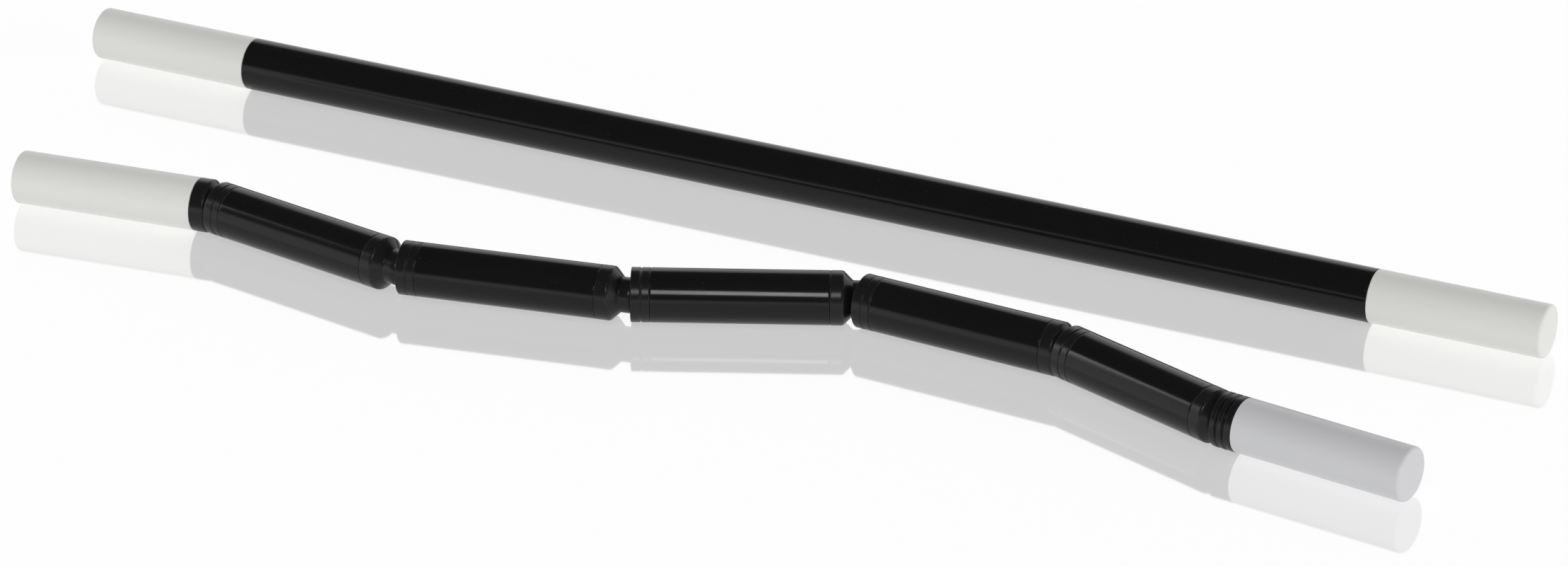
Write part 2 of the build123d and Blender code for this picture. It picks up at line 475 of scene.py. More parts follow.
class Effects:
    """Node groups that more than one finish uses, each built once."""

    _made: dict[str, bpy.types.NodeTree] = {}

    @classmethod
    def group(
        cls, name: str, inputs: dict[str, float], output: str, wire: Wiring
    ) -> bpy.types.NodeTree:
        """Makes a group with a Vector input, named numbers in and one number out.

        Args:
            name: the group's name.
            inputs: names and default values of its number inputs.
            output: name of its number output.
            wire: makes the effect from the group's inputs, before it is scaled by Amount.

        Returns:
            The group, made on its first use.
        """
        if name in cls._made:
            return cls._made[name]
        tree = bpy.data.node_groups.new(name, "ShaderNodeTree")
        tree.interface.new_socket("Vector", in_out="INPUT", socket_type="NodeSocketVector")
        for label, value in inputs.items():
            socket = tree.interface.new_socket(label, in_out="INPUT", socket_type="NodeSocketFloat")
            socket.default_value = value
        tree.interface.new_socket(output, in_out="OUTPUT", socket_type="NodeSocketFloat")
        desk = Desk(tree)
        source, sink = desk.add("NodeGroupInput"), desk.add("NodeGroupOutput")
        effect = wire(desk, source.outputs)
        desk.link(desk.maths("MULTIPLY", effect, source.outputs["Amount"]), sink.inputs[output])
        cls._made[name] = tree
        return tree

    @classmethod
    def scratches(cls) -> bpy.types.NodeTree:
        """Fine rubbing marks along the stick: stretched noise cut to thin lines."""

        def wire(desk: Desk, given: bpy.types.NodeOutputs) -> bpy.types.NodeSocket:
            """Noise stretched along V, sharpened by a narrow range, times a broad patchiness."""
            lines = desk.mapped(given["Vector"], (9000.0, 260.0, 1.0), 25.0)
            fine = desk.noise(lines, 1.0, 2.0)
            thin = desk.ranged(fine, 0.60, 0.68)
            patch = desk.ranged(desk.noise(given["Vector"], 90.0, 2.0), 0.45, 0.7)
            return desk.maths("MULTIPLY", thin, patch)

        return cls.group("fine_scratches", {"Amount": 1.0}, "Mask", wire)

    @classmethod
    def dust(cls) -> bpy.types.NodeTree:
        """Settled dust: small specks, denser on faces that look up."""

        def wire(desk: Desk, given: bpy.types.NodeOutputs) -> bpy.types.NodeSocket:
            """Voronoi specks of varied size, gathered by noise and by the upward normal."""
            cell = desk.add("ShaderNodeTexVoronoi")
            desk.link(given["Vector"], cell.inputs["Vector"])
            desk.link(given["Density"], cell.inputs["Scale"])
            speck = desk.ranged(cell.outputs["Distance"], 0.10, 0.05)
            some = desk.ranged(desk.noise(given["Vector"], 420.0, 3.0), 0.52, 0.62)
            normal = desk.add("ShaderNodeNewGeometry")
            split = desk.add("ShaderNodeSeparateXYZ")
            desk.link(normal.outputs["Normal"], split.inputs["Vector"])
            upward = desk.ranged(split.outputs["Z"], -0.1, 0.9)
            return desk.maths("MULTIPLY", desk.maths("MULTIPLY", speck, some), upward)

        return cls.group("settled_dust", {"Density": 900.0, "Amount": 1.0}, "Mask", wire)

    @classmethod
    def orange_peel(cls) -> bpy.types.NodeTree:
        """The slight ripple of moulded or sprayed plastic, as a height."""

        def wire(desk: Desk, given: bpy.types.NodeOutputs) -> bpy.types.NodeSocket:
            """Two sizes of noise added together."""
            broad = desk.noise(given["Vector"], 350.0, 1.0)
            small = desk.noise(given["Vector"], 1500.0, 2.0)
            return desk.maths("ADD", broad, desk.maths("MULTIPLY", small, 0.35))

        return cls.group("orange_peel", {"Amount": 1.0}, "Height", wire)

    @classmethod
    def edge_wear(cls) -> bpy.types.NodeTree:
        """Rubbed outer edges: the piece's edge attribute, broken up by noise."""

        def wire(desk: Desk, given: bpy.types.NodeOutputs) -> bpy.types.NodeSocket:
            """The attribute less noise, cut to a soft threshold."""
            mark = desk.add("ShaderNodeAttribute")
            mark.attribute_name = "edge"
            rough = desk.noise(given["Vector"], 1300.0, 4.0)
            return desk.ranged(desk.maths("MULTIPLY", mark.outputs["Fac"], rough), 0.45, 0.62)

        return cls.group("edge_wear", {"Amount": 1.0}, "Mask", wire)


@dataclass
class Desk:
    """A node tree with short ways to add and join nodes."""

    tree: bpy.types.NodeTree

    def add(self, kind: str) -> bpy.types.Node:
        """A new node of that kind."""
        return self.tree.nodes.new(kind)

    def link(self, source: bpy.types.NodeSocket, sink: bpy.types.NodeSocket) -> None:
        """Joins an output to an input."""
        self.tree.links.new(source, sink)

    def feed(self, value: object, sink: bpy.types.NodeSocket) -> None:
        """Joins an output to an input, or sets the input where the value is a plain number."""
        if isinstance(value, bpy.types.NodeSocket):
            self.link(value, sink)
        else:
            sink.default_value = value

    def maths(self, operation: str, first: object, second: object) -> bpy.types.NodeSocket:
        """One arithmetic node's result."""
        node = self.add("ShaderNodeMath")
        node.operation = operation
        self.feed(first, node.inputs[0])
        self.feed(second, node.inputs[1])
        return node.outputs[0]

    def ranged(self, value: bpy.types.NodeSocket, low: float, high: float) -> bpy.types.NodeSocket:
        """0 at low, 1 at high and clamped; low may be the greater."""
        node = self.add("ShaderNodeMapRange")
        self.link(value, node.inputs["Value"])
        node.inputs["From Min"].default_value = low
        node.inputs["From Max"].default_value = high
        return node.outputs["Result"]

    def spread(self, value: bpy.types.NodeSocket, low: float, high: float) -> bpy.types.NodeSocket:
        """Low where the value is 0, high where it is 1."""
        node = self.add("ShaderNodeMapRange")
        self.link(value, node.inputs["Value"])
        node.inputs["To Min"].default_value = low
        node.inputs["To Max"].default_value = high
        return node.outputs["Result"]

    def noise(self, vector: bpy.types.NodeSocket, scale: float, detail: float) -> bpy.types.NodeSocket:
        """Noise from 0 to 1."""
        node = self.add("ShaderNodeTexNoise")
        self.link(vector, node.inputs["Vector"])
        node.inputs["Scale"].default_value = scale
        node.inputs["Detail"].default_value = detail
        return node.outputs["Fac"]

    def mapped(
        self, vector: bpy.types.NodeSocket, scale: tuple[float, float, float], shift: float
    ) -> bpy.types.NodeSocket:
        """A vector scaled along its own axes and shifted."""
        node = self.add("ShaderNodeMapping")
        self.link(vector, node.inputs["Vector"])
        node.inputs["Scale"].default_value = scale
        node.inputs["Location"].default_value = (shift, shift, shift)
        return node.outputs["Vector"]

    def mixed(self, share: bpy.types.NodeSocket, low: object, high: object) -> bpy.types.NodeSocket:
        """A colour between two others."""
        node = self.add("ShaderNodeMix")
        node.data_type = "RGBA"
        self.link(share, node.inputs["Factor"])
        self.feed(low, node.inputs[6])
        self.feed(high, node.inputs[7])
        return node.outputs[2]

    def bumped(
        self, height: bpy.types.NodeSocket, shader: bpy.types.Node, distance: float, strength: float = 1.0
    ) -> None:
        """Joins a height to the shader's normal through a bump node."""
        bump = self.add("ShaderNodeBump")
        bump.inputs["Distance"].default_value = distance
        bump.inputs["Strength"].default_value = strength
        self.link(height, bump.inputs["Height"])
        self.link(bump.outputs["Normal"], shader.inputs["Normal"])

    def effect(
        self, group: bpy.types.NodeTree, vector: bpy.types.NodeSocket, **values: float
    ) -> bpy.types.NodeSocket:
        """A group's first output, with its own values set."""
        node = self.add("ShaderNodeGroup")
        node.node_tree = group
        self.link(vector, node.inputs["Vector"])
        for label, value in values.items():
            node.inputs[label.capitalize()].default_value = value
        return node.outputs[0]


def blank_material(name: str) -> tuple[bpy.types.Material, Desk, bpy.types.Node, bpy.types.Node]:
    """Starts a material whose shader stands in its own tree.

    Args:
        name: the material's name.

    Returns:
        The material, its desk, its texture coordinates and its shader.
    """
    made = bpy.data.materials.new(name)
    made.use_nodes = True
    made.node_tree.nodes.clear()
    desk = Desk(made.node_tree)
    place = desk.add("ShaderNodeTexCoord")
    shader, output = desk.add("ShaderNodeBsdfPrincipled"), desk.add("ShaderNodeOutputMaterial")
    desk.link(shader.outputs["BSDF"], output.inputs["Surface"])
    return made, desk, place, shader


Colour = tuple[float, float, float]


def opaque(colour: Colour) -> tuple[float, float, float, float]:
    """A colour with full alpha."""
    return (*colour, 1.0)


@dataclass(frozen=True)
class MouldedPlastic:
    """A moulded or sprayed plastic, from wet gloss to matte.

    Its colour drifts a little, with dust and rubbed edges; its roughness varies with broad
    smears and fine scratches; its surface has a slight ripple.
    """

    name: str
    colour: Colour
    drift: Colour
    roughness: float
    smear: float
    dust_colour: Colour
    dust: float
    scratches: float
    wear: float
    ripple: float
    coat: float = 0.0
    coat_roughness: float = 0.05
    scatter: float = 0.0
    specular_level: float = 0.5

    def material(self) -> bpy.types.Material:
        """Builds the material.

        Returns:
            A material whose shader stands in its own tree, with effects from groups.
        """
        made, desk, place, shader = blank_material(self.name)
        spot, uv = place.outputs["Object"], place.outputs["UV"]
        dust = desk.effect(Effects.dust(), spot, amount=self.dust)
        scratch = desk.effect(Effects.scratches(), uv, amount=self.scratches)
        worn = desk.effect(Effects.edge_wear(), spot, amount=self.wear)
        cloud = desk.noise(spot, 55.0, 3.0)
        base = desk.mixed(cloud, opaque(self.colour), opaque(self.drift))
        rubbed = desk.mixed(desk.maths("MAXIMUM", dust, worn), base, opaque(self.dust_colour))
        desk.link(rubbed, shader.inputs["Base Color"])
        dull, wet = self.roughness + self.smear, self.roughness - self.smear
        smears = desk.spread(desk.noise(spot, 120.0, 4.0), wet, dull)
        marks = desk.maths("ADD", desk.maths("MULTIPLY", scratch, 0.22), desk.maths("MULTIPLY", dust, 0.4))
        worn_rough = desk.maths("ADD", marks, desk.maths("MULTIPLY", worn, 0.15))
        desk.link(desk.maths("ADD", smears, worn_rough), shader.inputs["Roughness"])
        height = desk.effect(Effects.orange_peel(), spot, amount=self.ripple)
        cut = desk.maths("SUBTRACT", height, desk.maths("MULTIPLY", scratch, 0.4))
        desk.bumped(cut, shader, 0.01 * MM, strength=0.6)
        shader.inputs["IOR"].default_value = 1.5
        shader.inputs["Specular IOR Level"].default_value = self.specular_level
        shader.inputs["Coat Weight"].default_value = self.coat
        shader.inputs["Coat Roughness"].default_value = self.coat_roughness
        shader.inputs["Subsurface Weight"].default_value = self.scatter
        shader.inputs["Subsurface Scale"].default_value = 1.2 * MM
        return made


@dataclass(frozen=True)
class BraidedElastic:
    """A braided elastic cord: dark yarn, with a painted highlight that makes it lighter on the crowns of its
    strands.
    """

    name: str
    colour: Colour
    painted_crown_highlight: Colour

    def material(self) -> bpy.types.Material:
        """Builds the material.

        Returns:
            A rough cloth-like material with fine yarn bump.
        """
        made, desk, place, shader = blank_material(self.name)
        yarn = desk.noise(desk.mapped(place.outputs["UV"], (30.0, 9000.0, 1.0), 3.0), 1.0, 2.0)
        # Painted highlight: the colour turns lighter where the yarn bump stands high.
        desk.link(desk.mixed(yarn, opaque(self.colour), opaque(self.painted_crown_highlight)), shader.inputs["Base Color"])
        desk.link(desk.spread(yarn, 0.6, 0.9), shader.inputs["Roughness"])
        desk.bumped(yarn, shader, 0.03 * MM)
        shader.inputs["Sheen Weight"].default_value = 0.3
        return made


@dataclass(frozen=True)
class DrawnSteel:
    """Plain crimped steel with turning marks and a little tarnish."""

    name: str
    colour: Colour
    tarnish: Colour

    def material(self) -> bpy.types.Material:
        """Builds the material.

        Returns:
            A metal whose roughness follows fine lines round the piece.
        """
        made, desk, place, shader = blank_material(self.name)
        lines = desk.noise(desk.mapped(place.outputs["UV"], (40.0, 12000.0, 1.0), 1.0), 1.0, 2.0)
        cloud = desk.noise(place.outputs["Object"], 700.0, 3.0)
        desk.link(desk.mixed(cloud, opaque(self.colour), opaque(self.tarnish)), shader.inputs["Base Color"])
        desk.link(desk.spread(lines, 0.22, 0.48), shader.inputs["Roughness"])
        desk.bumped(lines, shader, 0.01 * MM)
        shader.inputs["Metallic"].default_value = 1.0
        return made


SATIN_WHITE = MouldedPlastic(
    "satin_white_plastic",
    colour=(0.745, 0.75, 0.72),
    drift=(0.725, 0.725, 0.695),
    roughness=0.36,
    smear=0.05,
    dust_colour=(0.42, 0.41, 0.38),
    dust=0.35,
    scratches=0.7,
    wear=0.05,
    ripple=0.7,
    coat=0.15,
    coat_roughness=0.2,
    scatter=0.12,
)

FINISHES = {
    Slot.BLACK: MouldedPlastic(
        "glossy_black_plastic",
        colour=(0.0045, 0.0045, 0.0048),
        drift=(0.0070, 0.0065, 0.0065),
        roughness=0.15,
        smear=0.03,
        dust_colour=(0.16, 0.155, 0.15),
        dust=0.35,
        scratches=0.6,
        wear=0.04,
        ripple=0.5,
        specular_level=0.32,
    ),
    Slot.FITTING: MouldedPlastic(
        "satin_black_fittings",
        colour=(0.006, 0.006, 0.0062),
        drift=(0.010, 0.0095, 0.0095),
        roughness=0.25,
        smear=0.05,
        dust_colour=(0.14, 0.135, 0.13),
        dust=0.5,
        scratches=0.5,
        wear=0.04,
        ripple=0.8,
        specular_level=0.34,
    ),
    Slot.WHITE: SATIN_WHITE,
    Slot.GREY: replace(
        SATIN_WHITE,
        name="cool_white_plastic",
        colour=(0.60, 0.60, 0.615),
        drift=(0.58, 0.58, 0.595),
        roughness=0.38,
        dust_colour=(0.40, 0.40, 0.39),
    ),
    Slot.INNER: MouldedPlastic(
        "plain_inner_plastic",
        colour=(0.028, 0.028, 0.029),
        drift=(0.040, 0.039, 0.038),
        roughness=0.5,
        smear=0.08,
        dust_colour=(0.18, 0.17, 0.16),
        dust=0.3,
        scratches=1.0,
        wear=0.2,
        ripple=1.0,
    ),
    # The cord's lighter second colour is a painted highlight on its strand crowns.
    Slot.CORD: BraidedElastic("braided_elastic", colour=(0.008, 0.008, 0.008), painted_crown_highlight=(0.03, 0.03, 0.03)),
    Slot.CRIMP: DrawnSteel("crimped_steel", colour=(0.62, 0.61, 0.60), tarnish=(0.42, 0.40, 0.37)),
}


@dataclass
class Workshop:
    """Dresses a finished piece: gives it its material, hides the CAD node it stands for and hangs it on the
    body it rides.
    """

    materials: dict[Slot, bpy.types.Material] = field(default_factory=dict)

    def dress(self, piece: bpy.types.Object, slot: Slot, node: str) -> bpy.types.Object:
        """Gives a piece its finish and hides the CAD node that it stands for.

        Args:
            piece: the finished mesh.
            slot: its material slot.
            node: the CAD node that it stands for.

        Returns:
            The same piece.
        """
        if slot not in self.materials:
            self.materials[slot] = FINISHES[slot].material()
        piece.data.materials.append(self.materials[slot])
        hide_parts(node)
        return piece

    def turn(
        self,
        name: str,
        axis: StickAxis,
        outline: Profile,
        slot: Slot,
        node: str,
        body: str,
        relief: Relief | None = None,
        segments: int = 128,
    ) -> None:
        """Turns an outline to a surface, dresses it and lets it ride on one body.

        Args:
            name: the piece's name, without its ending.
            axis: what it turns about.
            outline: its profile.
            slot: its material slot.
            node: the CAD node that it stands for.
            body: the body that carries it.
            relief: how far the surface stands out.
            segments: points round the axis.
        """
        piece = turned(f"{name}_surface", axis, outline, relief, segments)
        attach(self.dress(piece, slot, node), body)
        LOG.info("%s on %s, %d faces", piece.name, body, len(piece.data.polygons))


# ---------------------------------------------------------------- turned outlines


def tube_profile(start: float, end: float, outer: float, inner: float, edge: float = 0.22) -> Profile:
    """A plain tube with softened outer edges; all in millimetres."""
    return rounded_profile(
        [(start, inner, 0.05), (start, outer, edge), (end, outer, edge), (end, inner, 0.05)], run_steps=10
    )


def nose_profile(ring: float, shank: float) -> Profile:
    """The male end, from its shank to its flared cord hole.

    The ring is flush with the tube and has a soft shoulder. A cone of 45 degrees leads to a
    nose of 3.9 mm radius, whose end is a round of 2.3 mm.

    Args:
        ring: width of the ring, in millimetres.
        shank: length of the shank, in millimetres.

    Returns:
        The profile, with the shoulder at 0.
    """
    back = -ring - shank
    return rounded_profile(
        [
            (back, CORD_HOLE, 0.1),
            (back, BORE, SHANK_EDGE),
            (-ring, BORE, 0.03),
            (-ring, OUTER, RING_EDGE),
            (0.0, OUTER, 0.9),
            (2.1, 3.9, 0.5),
            (4.286, 3.9, 2.3),
            (5.015, 3.648, 2.3),
            (5.621, 3.173, 2.3),
            (5.831, 2.85, 0.1),
            (-1.0, CORD_HOLE, 1.0),
        ]
    )


def mouth_corners() -> list[tuple[float, float, float]]:
    """The female cavity from its bevelled mouth in to the cord hole, in millimetres."""
    return [
        (0.0, 5.7, 0.05),
        (0.8, 4.9, 0.25),
        (3.0, 4.9, 0.8),
        (4.9, 3.3, 0.8),
        (6.7, 3.3, 0.4),
        (6.7, CORD_HOLE, 0.15),
    ]


def groove(middle: float, depth: float, width: float) -> list[tuple[float, float, float]]:
    """One round-bottomed groove in an outer face, in millimetres, read from right to left."""
    return [
        (middle + width / 2, OUTER, 0.12),
        (middle, OUTER - depth, 0.15),
        (middle - width / 2, OUTER, 0.12),
    ]


def mouth_profile() -> Profile:
    """The female end: shank, flush ring with a fine groove, bevelled mouth."""
    return rounded_profile(
        [
            (WEB_BACK, CORD_HOLE, 0.1),
            (WEB_BACK, BORE, SHANK_EDGE),
            (4.2, BORE, 0.03),
            (4.2, OUTER, RING_EDGE),
            *groove(2.2, 0.22, 0.5),
            (0.0, OUTER, 0.15),
            *mouth_corners(),
        ]
    )


def cap_profile(bore: float, length: float = 40.0) -> Profile:
    """A white tip, open at 0 and closed by a slightly dished disc at its far end."""
    return rounded_profile(
        [
            (length - 0.12, 0.0, 0.0),
            (length, 3.6, 2.0),
            (length, OUTER, 0.75),
            (0.0, OUTER, 0.25),
            (0.0, bore, 0.1),
            (length - TIP_WALL, bore, 0.5),
            (length - TIP_WALL, 0.0, 0.0),
        ],
        loop=Loop.POLE_TO_POLE,
        run_steps=10,
    )


# ---------------------------------------------------------------- the sticks


@dataclass
class RigidStick:
    """The straight stick: one shaft tube, two hidden spigots and two white tips."""

    workshop: Workshop
    body: str = "straight_stick"

    def build(self) -> None:
        """Makes its five pieces from the CAD shaft's own box."""
        low, high = (Vector(corner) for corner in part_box("straight_shaft_tube"))
        middle = np.array((low + high) / 2)
        half = (high.x - low.x) / 2 / MM
        axis = StickAxis(middle, np.array([1.0, 0.0, 0.0]))
        outline = tube_profile(-half, half, OUTER, BORE)
        waves = drawn_waves(0.012 * MM, 61 * MM)
        turn = self.workshop.turn
        turn("straight_shaft", axis, outline, Slot.BLACK, "straight_shaft_tube", self.body, waves)
        for side, way in (("left", axis.reversed()), ("right", axis)):
            inner = tube_profile(half - SPIGOT_REACH, half + SPIGOT_REACH, BORE, SPIGOT_BORE)
            spigot, tip = f"straight_{side}_spigot", f"straight_{side}_tip"
            turn(spigot, way, inner, Slot.INNER, spigot, self.body)
            seat = way.moved(half * MM)
            turn(tip, seat, cap_profile(BORE), Slot.WHITE, tip, self.body, parting_line())


@dataclass
class Link:
    """One link: a tube between a mouth ferrule on its left and a nose plug on its right."""

    workshop: Workshop
    number: int
    axis: StickAxis
    length: float

    def build(self) -> None:
        """Makes the link's three pieces."""
        name, long = f"link_{self.number}", self.length / MM
        tube = tube_profile(MOUTH_WIDTH / MM, long - RING_WIDTH / MM, OUTER, BORE)
        waves = drawn_waves(0.012 * MM, (23 + 3 * self.number) * MM)
        turn, end = self.workshop.turn, self.axis.moved(self.length)
        turn(f"{name}_tube", self.axis, tube, Slot.BLACK, f"{name}_tube", name, waves)
        turn(f"{name}_mouth", self.axis, mouth_profile(), Slot.FITTING, f"{name}_mouth_ferrule", name)
        nose = nose_profile(RING_WIDTH / MM, SHANK_LENGTH / MM)
        turn(f"{name}_nose", end, nose, Slot.FITTING, f"{name}_nose_plug", name)


@dataclass
class LeftEnd:
    """The left end: white tip, black collar with its nose, and the cord's crimp."""

    workshop: Workshop
    shoulder: StickAxis
    collar_width: float = 3.2 * MM
    tip_length: float = 43.2 * MM

    def build(self) -> None:
        """Makes the three pieces, which all ride on the left end."""
        width, shank = self.collar_width / MM, SHANK_LENGTH / MM
        turn, body = self.workshop.turn, "left_end"
        collar = nose_profile(width, shank)
        turn("left_collar", self.shoulder, collar, Slot.FITTING, "left_collar", body)
        seat = self.shoulder.moved(-self.collar_width).reversed()
        cap = cap_profile(BORE, self.tip_length / MM)
        turn("left_tip", seat, cap, Slot.WHITE, "left_tip", body, parting_line())
        back = -width - shank
        sleeve = tube_profile(back - CRIMP_LENGTH, back, CRIMP_RADIUS, CRIMP_BORE)
        turn("left_crimp", self.shoulder, sleeve, Slot.CRIMP, "left_cord_crimp", body, segments=48)


@dataclass
class RightEnd:
    """The right end: ridged collar with its stem, and the tip that slides on the stem."""

    workshop: Workshop
    face: StickAxis
    collar_width: float = 5.1 * MM

    def collar_profile(self) -> Profile:
        """The collar: mouth like a link's, two deep round grooves, and a stepped back."""
        return rounded_profile(
            [
                (STEM_SPIGOT_END, CORD_HOLE, 0.1),
                (STEM_SPIGOT_END, STEM_BORE, 0.3),
                (WEB_BACK, STEM_BORE, 0.1),
                (WEB_BACK, STEM_RADIUS, 0.1),
                (5.1, STEM_RADIUS, 0.03),
                (5.1, OUTER, RING_EDGE),
                *groove(3.2, 0.55, 0.8),
                *groove(1.5, 0.55, 0.8),
                (0.0, OUTER, 0.15),
                *mouth_corners(),
            ]
        )

    def build(self) -> None:
        """Makes the collar and stem, and the sliding tip with its anchor disc and crimp."""
        turn, fixed, sliding = self.workshop.turn, "right_end", "right_tip"
        turn("right_collar", self.face, self.collar_profile(), Slot.FITTING, "right_collar", fixed)
        stem = tube_profile(WEB_BACK, STEM_END, STEM_RADIUS, STEM_BORE)
        turn("tension_stem", self.face, stem, Slot.INNER, "tension_stem", fixed)
        seat = self.face.moved(self.collar_width)
        turn("right_tip", seat, cap_profile(SLIDE_BORE), Slot.GREY, "right_tip", sliding, parting_line())
        disc = tube_profile(ANCHOR_START, ANCHOR_END, SLIDE_BORE, CRIMP_BORE)
        turn("cord_anchor", seat, disc, Slot.INNER, "cord_anchor_disc", sliding)
        sleeve = tube_profile(ANCHOR_END, ANCHOR_END + CRIMP_LENGTH, CRIMP_RADIUS, CRIMP_BORE)
        turn("right_crimp", seat, sleeve, Slot.CRIMP, "right_cord_crimp", sliding, segments=48)


@dataclass
class PullCord:
    """The cord that strings the linked stick: one stretch in each link and one across each joint."""

    workshop: Workshop
    node: str = "pull_cord"
    strands: int = 8
    lay: float = 5.0 * MM

    def stretch(self, name: str, path: np.ndarray) -> bpy.types.Object:
        """One dressed length of braid, not yet on any body."""
        piece = swept_cord(name, path, CORD_RADIUS, self.strands, self.lay)
        return self.workshop.dress(piece, Slot.CORD, self.node)

    def inside(self, name: str, start: np.ndarray, end: np.ndarray, body: str) -> None:
        """A straight length that one body holds."""
        share = np.linspace(0.0, 1.0, 60)[:, None]
        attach(self.stretch(name, start + share * (end - start)), body)
        LOG.info("%s on %s", name, body)

    def across(self, name: str, male: StickAxis, female: StickAxis, bodies: tuple[str, str]) -> None:
        """A length that bends from one piece's nose into the next piece's web.

        Args:
            name: the piece's name.
            male: axis from the shoulder, pointing out of the nose.
            female: axis from the mouth's face, pointing into the cavity.
            bodies: the body with the nose, then the body with the mouth.
        """
        leave, arrive = male.at(0.2 * MM), female.at(CAVITY_DEPTH)
        path = eased_path(male.at(-2.0 * MM), leave, arrive, female.at(CAVITY_DEPTH + WEB), 90)
        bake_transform(self.stretch(name, path))
        LOG.info("%s between %s and %s", name, *bodies)

    def pulled(self, name: str, start: np.ndarray, end: np.ndarray, bodies: tuple[str, str]) -> None:
        """A straight length that runs from one body into the other, fixed in place on neither of them."""
        share = np.linspace(0.0, 1.0, 80)[:, None]
        piece = self.stretch(name, start + share * (end - start))
        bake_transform(piece)
        LOG.info("%s between %s and %s", name, *bodies)


@dataclass
class LinkedStick:
    """The linked stick: it reads its joints from the frame and strings everything between them."""

    workshop: Workshop
    joint_order: tuple[str, ...] = ("joint_left", "joint_1", "joint_2", "joint_3", "joint_4", "joint_right")
    gaps: tuple[float, ...] = (2.1, 4.4, 4.0, 4.7, 2.0, 1.6)

    def pivots(self) -> list[np.ndarray]:
        """The bending centres, left to right."""
        joints = {joint["name"]: joint for joint in frame["joints"]}
        return [np.array(joints[name]["pos_m"], float) for name in self.joint_order]

    def axes(self) -> list[StickAxis]:
        """One axis for each rigid stretch: left end, five links, right end, each from its left pivot."""
        mounts = {mount["name"]: mount for mount in frame["record"]["mounts"]}
        points = self.pivots()
        left = -np.array(mounts["linked_left_end"]["axis"], float)
        right = np.array(mounts["linked_right_end"]["axis"], float)
        ways = [after - before for before, after in zip(points, points[1:])]
        middle = [StickAxis(start, way / np.linalg.norm(way)) for start, way in zip(points, ways)]
        return [StickAxis(points[0], left), *middle, StickAxis(points[-1], right)]

    def build(self) -> None:
        """Makes the ends, the links and the cord."""
        points, axes = self.pivots(), self.axes()
        half = [gap * MM / 2 for gap in self.gaps]
        spans = [np.linalg.norm(after - before) for before, after in zip(points, points[1:])]
        bodies = ["left_end", *[f"link_{number}" for number in range(1, 6)], "right_end"]
        mouths = [axis.moved(half[index]) for index, axis in enumerate(axes[1:])]
        lengths = [span - half[index] - half[index + 1] for index, span in enumerate(spans)]
        noses = [axes[0].moved(-half[0]), *[mouth.moved(long) for mouth, long in zip(mouths, lengths)]]
        LeftEnd(self.workshop, noses[0]).build()
        for index, long in enumerate(lengths):
            Link(self.workshop, index + 1, mouths[index], float(long)).build()
        end = RightEnd(self.workshop, mouths[-1])
        end.build()
        cord = PullCord(self.workshop)
        cord.inside("cord_in_left_end", noses[0].at(-15.2 * MM), noses[0].at(-2.0 * MM), "left_end")
        for index, nose in enumerate(noses):
            pair = (bodies[index], bodies[index + 1])
            cord.across(f"cord_across_{self.joint_order[index]}", nose, mouths[index], pair)
            if index:
                start = mouths[index - 1].at(CAVITY_DEPTH + WEB)
                cord.inside(f"cord_in_{bodies[index]}", start, nose.at(-2.0 * MM), bodies[index])
        start = end.face.at(CAVITY_DEPTH + WEB)
        finish = end.face.at(end.collar_width + (ANCHOR_END + CRIMP_LENGTH) * MM)
        cord.pulled("cord_to_right_tip", start, finish, ("right_end", "right_tip"))


# ---------------------------------------------------------------- the studio


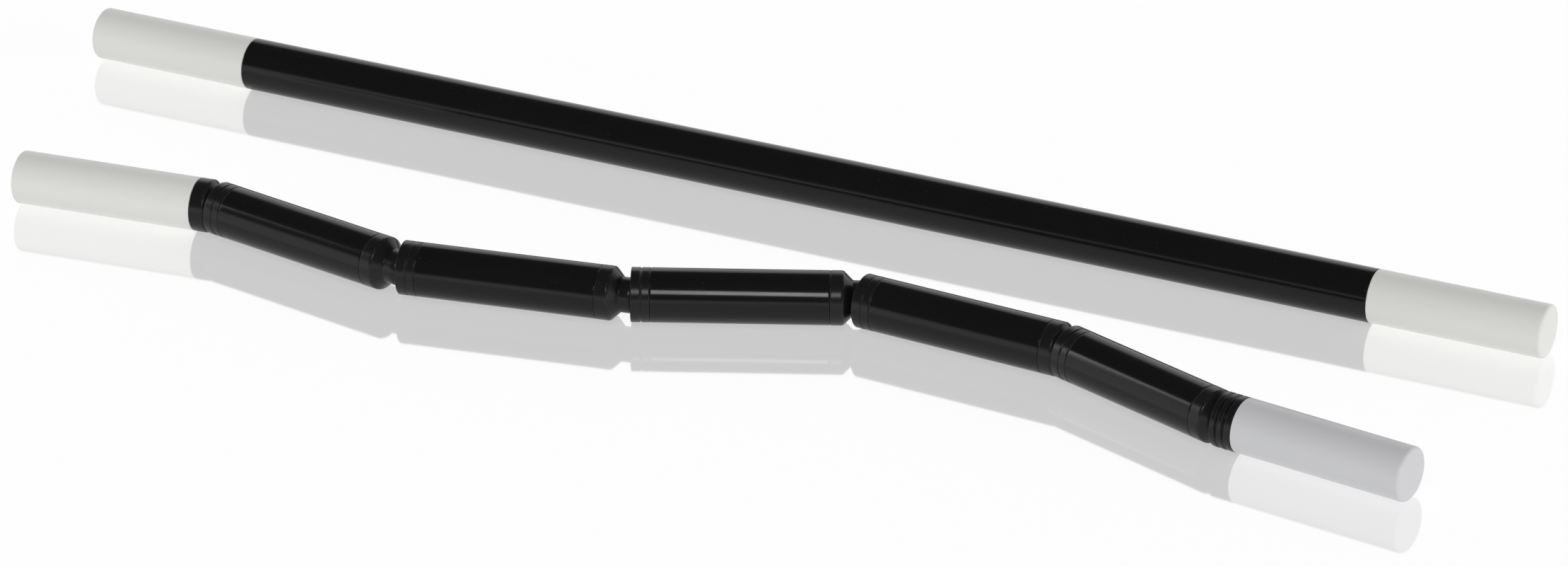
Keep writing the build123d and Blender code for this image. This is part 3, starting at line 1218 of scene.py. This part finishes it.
@dataclass
class Studio:
    """A pale glossy floor, soft light and the camera."""

    target: Vector = field(default_factory=lambda: Vector((0.0155, 0.0004, 0.0)))
    azimuth: float = 25.4
    elevation: float = 26.73
    distance: float = 1.543
    lens: float = 161.4
    lit: bpy.types.Collection = field(default_factory=lambda: bpy.data.collections.new("lit_pieces"))

    @staticmethod
    def towards(azimuth: float, elevation: float) -> Vector:
        """The unit vector to a point seen at that azimuth and elevation."""
        turn, rise = math.radians(azimuth), math.radians(elevation)
        return Vector((math.sin(turn) * math.cos(rise), -math.cos(turn) * math.cos(rise), math.sin(rise)))

    def camera(self) -> None:
        """Sets the camera on its target with no shift and no blur."""
        data = bpy.data.cameras.new("camera")
        data.lens, data.sensor_width = self.lens, 36.0
        data.clip_start, data.clip_end = 0.05, 50.0
        eye = bpy.data.objects.new("camera", data)
        way = self.towards(self.azimuth, self.elevation)
        eye.location = self.target + way * self.distance
        eye.rotation_mode = "QUATERNION"
        eye.rotation_quaternion = (-way).to_track_quat("-Z", "Y")
        bpy.context.scene.collection.objects.link(eye)
        bpy.context.scene.camera = eye

    def floor(self) -> None:
        """A wide light table: a glowing pale sheet with a clear reflection in it."""
        mesh = bpy.data.meshes.new("floor")
        side = 6.0
        corners = [(-side, -side, 0), (side, -side, 0), (side, side, 0), (-side, side, 0)]
        mesh.from_pydata(corners, [], [(0, 1, 2, 3)])
        piece = bpy.data.objects.new("floor", mesh)
        bpy.context.scene.collection.objects.link(piece)
        made = bpy.data.materials.new("pale_floor")
        made.use_nodes = True
        made.node_tree.nodes.clear()
        desk = Desk(made.node_tree)
        kinds = ("Emission", "BsdfDiffuse", "BsdfAnisotropic", "MixShader", "MixShader", "OutputMaterial")
        glow, matte, mirror, base, top, output = (desk.add(f"ShaderNode{kind}") for kind in kinds)
        rays = desk.add("ShaderNodeLightPath")
        desk.link(desk.spread(rays.outputs["Is Diffuse Ray"], 1.13, 1.75), glow.inputs["Strength"])
        glow.inputs["Color"].default_value = (1.0, 1.0, 1.0, 1.0)
        matte.inputs["Color"].default_value = (0.9, 0.9, 0.9, 1.0)
        mirror.inputs["Color"].default_value = (1.0, 1.0, 1.0, 1.0)
        mirror.inputs["Roughness"].default_value = 0.06
        base.inputs[0].default_value = 0.25
        top.inputs[0].default_value = 0.38
        desk.link(glow.outputs[0], base.inputs[1])
        desk.link(matte.outputs[0], base.inputs[2])
        desk.link(base.outputs[0], top.inputs[1])
        desk.link(mirror.outputs[0], top.inputs[2])
        desk.link(top.outputs[0], output.inputs["Surface"])
        mesh.materials.append(made)

    def sky(self) -> None:
        """A white surround with a dim ceiling that leans over towards the camera."""
        world = bpy.data.worlds.new("studio")
        bpy.context.scene.world = world
        world.use_nodes = True
        desk = Desk(world.node_tree)
        world.node_tree.nodes.clear()
        place, lean = desk.add("ShaderNodeTexCoord"), desk.add("ShaderNodeVectorMath")
        lean.operation = "DOT_PRODUCT"
        desk.link(place.outputs["Generated"], lean.inputs[0])
        lean.inputs[1].default_value = self.towards(self.azimuth, 75.0)
        ceiling = desk.ranged(lean.outputs["Value"], math.cos(math.radians(74)), math.cos(math.radians(66)))
        light, output = desk.add("ShaderNodeBackground"), desk.add("ShaderNodeOutputWorld")
        desk.link(desk.mixed(ceiling, (1.0, 1.0, 1.0, 1.0), (0.07, 0.07, 0.073, 1.0)), light.inputs["Color"])
        desk.link(light.outputs["Background"], output.inputs["Surface"])

    def hung(self, data: bpy.types.Light, azimuth: float, elevation: float) -> bpy.types.Object:
        """Hangs a light LAMP_DISTANCE from the target and turns it to face the target."""
        light = bpy.data.objects.new(data.name, data)
        way = self.towards(azimuth, elevation)
        light.location = self.target + way * LAMP_DISTANCE
        light.rotation_mode = "QUATERNION"
        light.rotation_quaternion = way.to_track_quat("Z", "Y")
        bpy.context.scene.collection.objects.link(light)
        return light

    def lamp(
        self, name: str, azimuth: float, elevation: float, size: tuple[float, float], watts: float
    ) -> None:
        """A soft rectangular lamp that lights only the sticks, so the floor doesn't mirror it.

        Args:
            name: the lamp's name.
            azimuth: where it stands round the target.
            elevation: how high it stands.
            size: its width and height.
            watts: its power.
        """
        data = bpy.data.lights.new(name, "AREA")
        data.shape, data.size, data.size_y = "RECTANGLE", *size
        data.energy = watts
        lamp = self.hung(data, azimuth, elevation)
        lamp.light_linking.receiver_collection = self.lit

    def far_light(self, name: str, azimuth: float, elevation: float, strength: float) -> None:
        """A broad far light that adds no highlights.

        Args:
            name: the light's name.
            azimuth: where it stands round the target.
            elevation: how high it stands.
            strength: its strength.
        """
        data = bpy.data.lights.new(name, "SUN")
        data.energy, data.angle = strength, math.radians(40)
        self.hung(data, azimuth, elevation).visible_glossy = False

    def build(self) -> None:
        """Sets the whole stage."""
        for piece in bpy.context.scene.objects:
            if piece.type == "MESH":
                self.lit.objects.link(piece)
        self.floor()
        self.sky()
        self.camera()
        self.far_light("overhead", 10.0, 55.0, 1.2)
        self.far_light("side", 88.0, 12.0, 1.2)
        self.lamp("front_strip", 21.5, 38.0, (0.26, 0.5), 4.0)
        self.lamp("left_softbox", -63.3, 25.3, (0.35, 0.6), 2.6)
        scene = bpy.context.scene
        scene.view_settings.view_transform = "Standard"
        scene.view_settings.look = "None"


def main() -> None:
    """Builds both sticks, then the studio around them."""
    logging.basicConfig(level=logging.INFO, format="%(message)s")
    workshop = Workshop()
    RigidStick(workshop).build()
    LinkedStick(workshop).build()
    Studio().build()
    LOG.info("studio: floor, surround, camera and lights")


if __name__ == "__main__":
    main()
